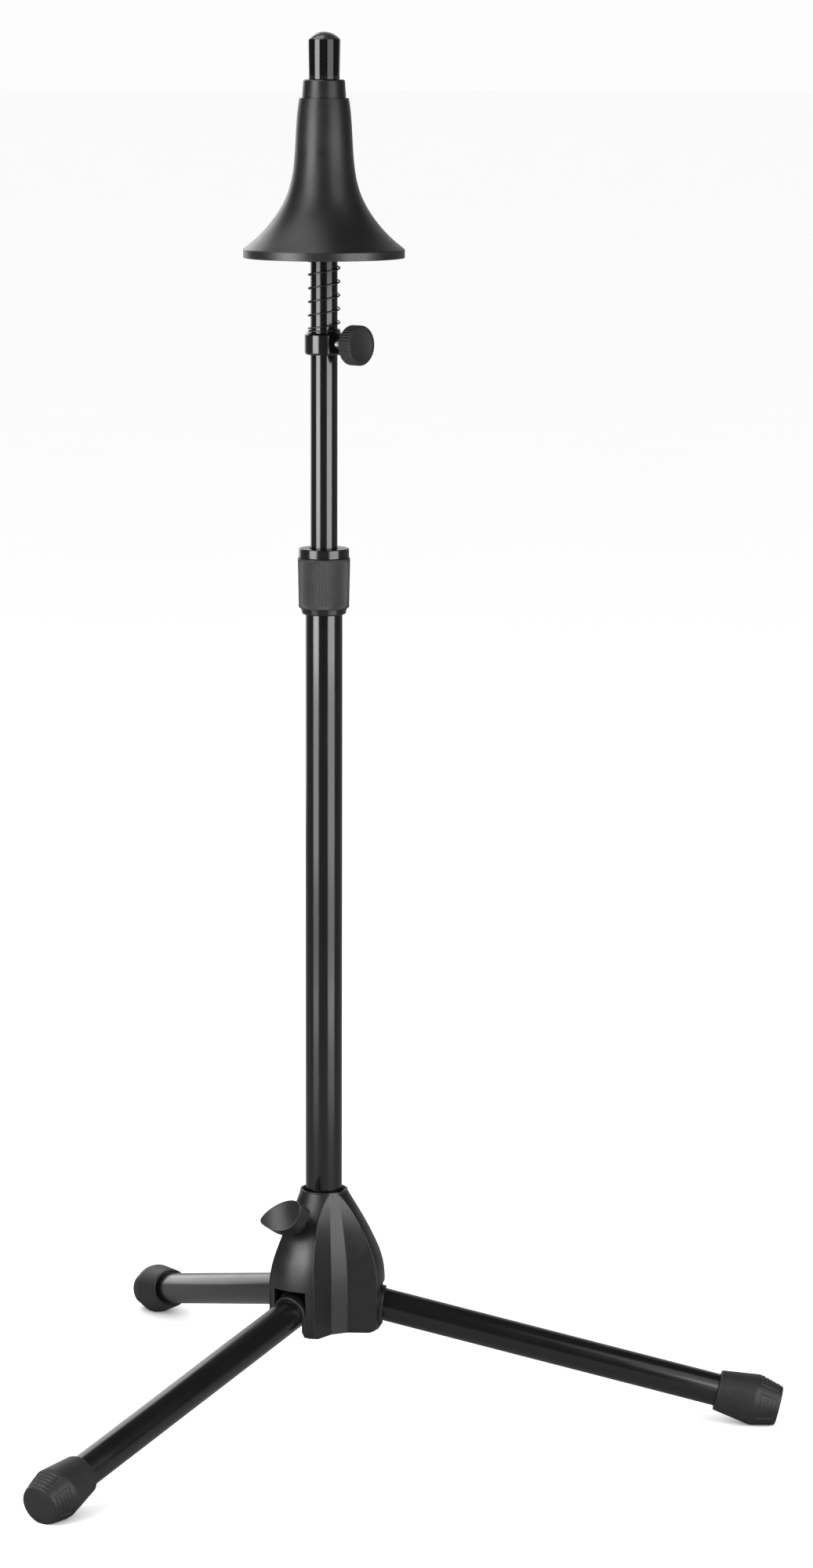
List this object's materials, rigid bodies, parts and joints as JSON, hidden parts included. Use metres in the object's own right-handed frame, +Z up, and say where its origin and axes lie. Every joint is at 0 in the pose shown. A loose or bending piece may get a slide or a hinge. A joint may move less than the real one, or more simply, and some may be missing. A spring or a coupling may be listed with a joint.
{
  "type": "trombone stand",
  "caption": "Telescopic floor stand with a sprung flared cone that holds the bell of a brass instrument, on folding round legs with rubber feet.",
  "frame": {"origin": "on the stand's vertical axis, at the floor under the spread feet", "axes": "+Z up along the tubes; +X within 6 degrees of leg b, so that leg c points to the back left and leg a to the front left"},
  "size_m": [0.4498, 0.4908, 0.8353],
  "materials": {
    "housing": "matte, fine moulded grain",
    "black_plastic": "matte moulded plastic",
    "white_plastic": "natural nylon",
    "gloss_plastic": "glossy moulded plastic",
    "knob_plastic": "satin moulded plastic",
    "cone_plastic": "matte, finely grained",
    "cap_vinyl": "glossy dipped vinyl",
    "grip_rubber": "matte ribbed rubber",
    "boot_rubber": "matte rubber with moulded treads",
    "gloss_black_steel": "glossy black lacquer",
    "leg_steel": "satin black powder coat",
    "spring_steel": "blackened spring wire",
    "bright_steel": "zinc-plated bright steel"
  },
  "bodies": {
    "base": {"base_housing": "housing", "guide_bush": "black_plastic", "pin_retainers": "black_plastic", "retainer_screws": "bright_steel", "leg_pin_a": "bright_steel", "leg_pin_b": "bright_steel", "leg_pin_c": "bright_steel"},
    "leg_a": {"leg_knuckle_a": "black_plastic", "leg_tube_a": "leg_steel", "foot_boot_a": "boot_rubber"},
    "leg_b": {"leg_knuckle_b": "black_plastic", "leg_tube_b": "leg_steel", "foot_boot_b": "boot_rubber"},
    "leg_c": {"leg_knuckle_c": "black_plastic", "leg_tube_c": "leg_steel", "foot_boot_c": "boot_rubber"},
    "base_pad": {"base_pad": "white_plastic"},
    "wing_screw": {"base_screw": "bright_steel", "wing_knob": "knob_plastic"},
    "lower_tube": {"lower_tube": "gloss_black_steel", "tube_plug": "black_plastic", "clutch_body": "black_plastic"},
    "clutch_collet": {"clutch_collet": "white_plastic"},
    "clutch_grip": {"clutch_nut": "gloss_plastic", "clutch_grip": "grip_rubber", "clutch_cap": "gloss_plastic"},
    "glide_bush": {"glide_bush": "white_plastic"},
    "upper_tube": {"upper_tube": "gloss_black_steel", "end_cap": "cap_vinyl"},
    "collar": {"collar": "gloss_black_steel", "cone_spring": "spring_steel"},
    "collar_tip": {"collar_tip": "white_plastic"},
    "thumb_screw": {"collar_screw": "bright_steel", "collar_knob": "knob_plastic"},
    "bell_cone": {"bell_cone": "cone_plastic", "cone_sleeve": "gloss_plastic"}
  },
  "joints": [
    {"name": "leg_a_fold", "type": "hinge", "parent": "base", "child": "leg_a", "pos_m": [-0.01249, -0.0175, 0.07276], "axis": [0.8141, -0.5807, 0], "range_deg": [0, 76]},
    {"name": "leg_b_fold", "type": "hinge", "parent": "base", "child": "leg_b", "pos_m": [0.0214, -0.00206, 0.07276], "axis": [0.0958, 0.9954, 0], "range_deg": [0, 76]},
    {"name": "leg_c_fold", "type": "hinge", "parent": "base", "child": "leg_c", "pos_m": [-0.00892, 0.01956, 0.07276], "axis": [-0.91, -0.4147, 0], "range_deg": [0, 76]},
    {"name": "lower_tube_slide", "type": "slide", "parent": "base", "child": "lower_tube", "axis": [0, 0, 1], "range_m": [-0.2, 0.02]},
    {"name": "base_pad_slide", "type": "slide", "parent": "base", "child": "base_pad", "axis": [-0.5029, -0.705, 0.5], "range_m": [0, 0.002]},
    {"name": "wing_screw_turn", "type": "hinge", "parent": "base_pad", "child": "wing_screw", "pos_m": [-0.01006, -0.0141, 0.1179], "axis": [-0.5029, -0.705, 0.5], "range_deg": [0, 720]},
    {"name": "clutch_turn", "type": "hinge", "parent": "lower_tube", "child": "clutch_grip", "pos_m": [0, 0, 0.4957], "axis": [0, 0, 1], "range_deg": [0, 180]},
    {"name": "collet_slide", "type": "slide", "parent": "lower_tube", "child": "clutch_collet", "axis": [0, 0, 1], "range_m": [0, 0.0006]},
    {"name": "height_slide", "type": "slide", "parent": "lower_tube", "child": "glide_bush", "axis": [0, 0, 1], "range_m": [-0.085, 0.25]},
    {"name": "upper_tube_swivel", "type": "hinge", "parent": "glide_bush", "child": "upper_tube", "pos_m": [0, 0, 0.215], "axis": [0, 0, 1], "continuous": true},
    {"name": "collar_slide", "type": "slide", "parent": "upper_tube", "child": "collar", "axis": [0, 0, 1], "range_m": [-0.025, 0]},
    {"name": "collar_tip_slide", "type": "slide", "parent": "collar", "child": "collar_tip", "axis": [0.7455, -0.6665, 0], "range_m": [0, 0.001]},
    {"name": "thumb_screw_turn", "type": "hinge", "parent": "collar_tip", "child": "thumb_screw", "pos_m": [0.01118, -0.01, 0.653], "axis": [0.7455, -0.6665, 0], "range_deg": [0, 360]},
    {"name": "cone_bounce", "type": "slide", "parent": "collar", "child": "bell_cone", "axis": [0, 0, 1], "range_m": [-0.03, 0], "stiffness_N_per_m": 250, "springref_m": 0.03, "deforming": ["cone_spring"]}
  ],
  "couplings": [
    {"joint": "wing_screw_turn", "follows": "base_pad_slide", "rad_per_m": 6283.2},
    {"joint": "clutch_turn", "follows": "collet_slide", "rad_per_m": 5236},
    {"joint": "thumb_screw_turn", "follows": "collar_tip_slide", "rad_per_m": 6283.2}
  ]
}
